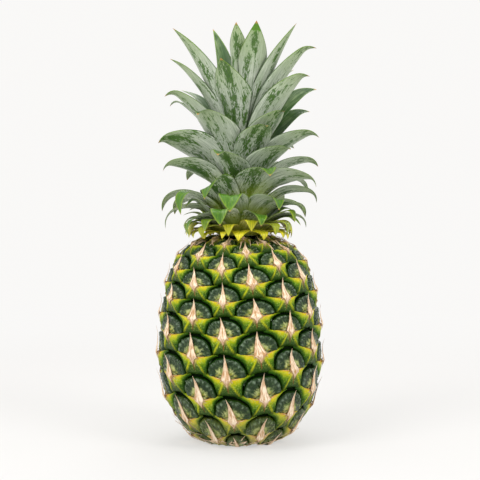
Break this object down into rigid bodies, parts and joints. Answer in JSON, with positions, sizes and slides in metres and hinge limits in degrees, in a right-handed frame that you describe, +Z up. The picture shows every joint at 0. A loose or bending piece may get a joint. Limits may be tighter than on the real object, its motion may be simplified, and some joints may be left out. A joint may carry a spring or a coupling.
{
  "type": "pineapple",
  "caption": "Whole fresh pineapple: a barrel-shaped fruit of raised eyes with its crown of stiff grey-green leaves, standing on the flat spot at its base.",
  "frame": {"origin": "middle of the flat spot that the fruit stands on", "axes": "+Z up the fruit and out through the crown, -Y the front that faces the viewer"},
  "size_m": [0.1227, 0.1226, 0.3161],
  "materials": {
    "rind": "glossy dark green eyes under lime and yellow bracts with papery tan spines",
    "stem_flesh": "matte pale green",
    "collar_leaf": "satin yellow-green",
    "leaf": "satin green under a silvery bloom that is rubbed off in patches"
  },
  "bodies": {
    "root": {"fruit": "rind", "crown_stem": "stem_flesh", "crown_collar": "collar_leaf", "crown_leaf_01": "leaf", "crown_leaf_02": "leaf", "crown_leaf_03": "leaf", "crown_leaf_04": "leaf", "crown_leaf_05": "leaf", "crown_leaf_06": "leaf", "crown_leaf_07": "leaf", "crown_leaf_08": "leaf", "crown_leaf_09": "leaf", "crown_leaf_10": "leaf", "crown_leaf_11": "leaf", "crown_leaf_12": "leaf", "crown_leaf_13": "leaf", "crown_leaf_14": "leaf", "crown_leaf_15": "leaf", "crown_leaf_16": "leaf", "crown_leaf_17": "leaf", "crown_leaf_18": "leaf", "crown_leaf_19": "leaf", "crown_leaf_20": "leaf", "crown_leaf_21": "leaf", "crown_leaf_22": "leaf", "crown_leaf_23": "leaf", "crown_leaf_24": "leaf", "crown_leaf_25": "leaf", "crown_leaf_26": "leaf", "crown_leaf_27": "leaf", "crown_leaf_28": "leaf", "crown_leaf_29": "leaf", "crown_leaf_30": "leaf", "crown_leaf_31": "leaf", "crown_leaf_32": "leaf", "crown_leaf_33": "leaf", "crown_leaf_34": "leaf", "crown_leaf_35": "leaf", "crown_leaf_36": "leaf", "crown_leaf_37": "leaf", "crown_leaf_38": "leaf", "crown_leaf_39": "leaf", "crown_leaf_40": "leaf", "crown_leaf_41": "leaf", "crown_leaf_42": "leaf", "crown_leaf_43": "leaf", "crown_leaf_44": "leaf", "crown_leaf_45": "leaf", "crown_leaf_46": "leaf", "crown_leaf_47": "leaf", "crown_leaf_48": "leaf", "crown_leaf_49": "leaf", "crown_leaf_50": "leaf", "crown_leaf_51": "leaf", "crown_leaf_52": "leaf", "crown_leaf_53": "leaf", "crown_leaf_54": "leaf", "crown_leaf_55": "leaf", "crown_leaf_56": "leaf", "crown_leaf_57": "leaf"}
  },
  "joints": []
}
